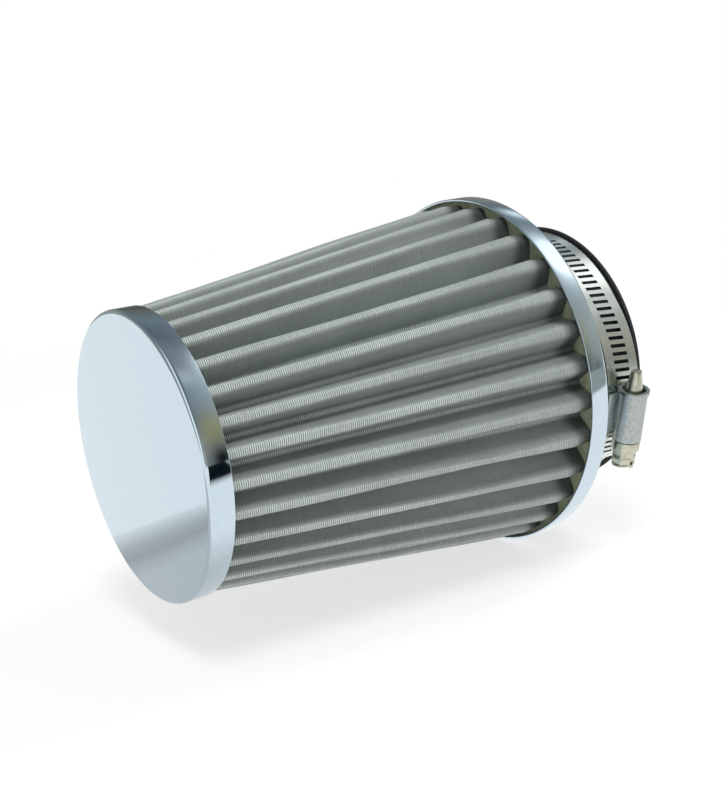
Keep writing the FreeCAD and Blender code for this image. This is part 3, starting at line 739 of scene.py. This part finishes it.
def softened(node, name, width, rim=None, degrees=35):
    """Copy of a CAD node with its sharp edges slightly rounded, and its rim edges well rounded."""
    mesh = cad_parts[node].data.copy()
    mesh.name = name
    work = bmesh.new()
    work.from_mesh(mesh)
    bmesh.ops.remove_doubles(work, verts=work.verts, dist=1e-7)
    bmesh.ops.dissolve_limit(work, angle_limit=math.radians(0.5), verts=work.verts, edges=work.edges)
    limit = math.radians(degrees)
    sharp = [edge for edge in work.edges if edge.is_manifold and edge.calc_face_angle() > limit]
    rims = [edge for edge in sharp if rim and all(rim(vertex.co) for vertex in edge.verts)]
    fine = [edge for edge in sharp if edge not in rims]
    bmesh.ops.bevel(
        work, geom=fine, offset=width, segments=2, profile=0.5, affect="EDGES", clamp_overlap=True)
    rims = [edge for edge in rims if edge.is_valid]
    bmesh.ops.bevel(
        work, geom=rims, offset=RIM_SHARE * width, segments=4, profile=0.5, affect="EDGES",
        clamp_overlap=True)
    work.to_mesh(mesh)
    work.free()
    piece = bpy.data.objects.new(name, mesh)
    bpy.context.collection.objects.link(piece)
    keep_edges_crisp(piece, degrees)
    return piece


def on_collar(point):
    """Whether a point lies on the edge of the screw's collar."""
    offset = point - SCREW_PLACE
    return (offset - SCREW_AXIS * offset.dot(SCREW_AXIS)).length > COLLAR_RADIUS - 0.05 * MM


def end_cap_outline():
    """Outline of the pressed cup with a rounded face edge."""
    face, back = CAP_LOW[0], CAP_HIGH[0]
    floor = face + SHEET_GAUGE
    inner = CAP_RADIUS - SHEET_GAUGE
    return rounded([
        (face, 0, 0), (face, CAP_RADIUS, CAP_EDGE_ROUND), (back, CAP_RADIUS, CAP_RIM_ROUND),
        (back, inner, CAP_RIM_INNER_ROUND), (floor, inner, CAP_FLOOR_ROUND), (floor, 0, 0)])


def base_ring_outline():
    """Outline of the pressed ring with an annular back and a turned front edge."""
    front, back = RING_LOW[0], RING_HIGH[0]
    floor = back - SHEET_GAUGE
    inner = RING_RADIUS - SHEET_GAUGE
    hole = NECK_RADIUS + BOND_GAP
    return rounded([
        (floor, hole, 0), (floor, inner, RING_FLOOR_ROUND), (front, inner, RING_LIP_INNER_ROUND),
        (front, RING_RADIUS, RING_LIP_ROUND), (back, RING_RADIUS, RING_EDGE_ROUND), (back, hole, 0)])


def neck_outline():
    """Outline of the sleeve with a rounded lip at its mouth and a flange inside the ring."""
    inside, mouth = NECK_LOW[0], NECK_HIGH[0]
    step = RING_HIGH[0] - SHEET_GAUGE - BOND_GAP
    lip = mouth - LIP_WIDTH
    return rounded([
        (inside, BORE_RADIUS, 0), (inside, FLANGE_RADIUS, 0), (step, FLANGE_RADIUS, 0),
        (step, NECK_RADIUS, 0), (lip, NECK_RADIUS, 0), (lip, LIP_RADIUS, LIP_ROUND),
        (mouth, LIP_RADIUS, LIP_ROUND), (mouth, BORE_RADIUS, 0)])


# Stage
add_camera()
add_floor()
add_world()
add_dome()
# Painted shadow of the part on the floor, for mirror surfaces.
add_veil("painted_shadow_veil", SHADOW_VEIL, SHADOW_VEIL_STOPS, SOFT_SIDES, DARK_VEIL)
add_veil("front_veil", FRONT_VEIL, FRONT_VEIL_STOPS, PLAIN_SIDES, DARK_VEIL)
add_veil("side_veil", SIDE_VEIL, SIDE_VEIL_STOPS, PLAIN_SIDES, GREY_VEIL)
add_lamp("key", (0.70, -0.12, 0.84), (MIDDLE_X, 0, 0), 0.30, 6)
add_lamp("top", (-0.35, -0.45, 1.0), (MIDDLE_X, 0, 0), 0.35, 8)

# Materials of the pieces
CHROME = metal(
    "chrome_plate", (0.61, 0.72, 0.79), (0.63, 0.74, 0.81), (0.05, 0.08), 500, 0.02, PLATE_GRAIN)
FOLD_LENGTHS = fold_lengths()
CLOTH = cloth_material(FOLD_LENGTHS[-1])
RESIN = resin_material()
RUBBER = rubber_material()
BAND_STEEL = metal(
    "band_steel", (0.70, 0.74, 0.70), (0.76, 0.80, 0.76), (0.20, 0.30), 900, 0.05, PLATE_GRAIN)
ZINC = metal(
    "satin_zinc", (0.40, 0.44, 0.43), (0.53, 0.57, 0.56), (0.3, 0.45), 900, 0.2, PLATE_GRAIN)
YELLOW_ZINC = metal(
    "pale_yellow_zinc", (0.50, 0.50, 0.38), (0.68, 0.68, 0.56), (0.25, 0.4), 600, 0.2, PLATE_GRAIN)

# Pieces
cap = lathe("end_cap_shell", end_cap_outline())
keep_edges_crisp(cap)
finish_piece(cap, CHROME, "chrome", "filter", "end_cap")
ring = lathe("base_ring_shell", base_ring_outline(), FINE_TURN)
keep_edges_crisp(ring)
finish_piece(ring, CHROME, "chrome", "filter", "base_ring")
sleeve = lathe("neck_sleeve", neck_outline(), FINE_TURN)
keep_edges_crisp(sleeve)
finish_piece(sleeve, RUBBER, "rubber", "filter", "neck")
cloth = pleat_cloth(FOLD_LENGTHS)
finish_piece(cloth, CLOTH, "wire_mesh", "filter", "pleated_mesh")

for node, material in (("cap_potting", RESIN), ("base_potting", RESIN), ("clamp_band", BAND_STEEL)):
    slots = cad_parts[node].data.materials
    slots.clear()
    slots.append(material)
for node, name, width, rim, material, slot_name, body in (
        ("clamp_saddle", "saddle_strap", 0.15 * MM, None, ZINC, "zinc", "filter"),
        ("clamp_housing", "housing_shell", 0.18 * MM, None, ZINC, "zinc", "filter"),
        ("clamp_screw", "worm_screw", 0.15 * MM, on_collar, YELLOW_ZINC, "yellow_zinc", "screw")):
    finish_piece(softened(node, name, width, rim), material, slot_name, body, node)

scene = bpy.context.scene
scene.view_settings.view_transform = "Standard"
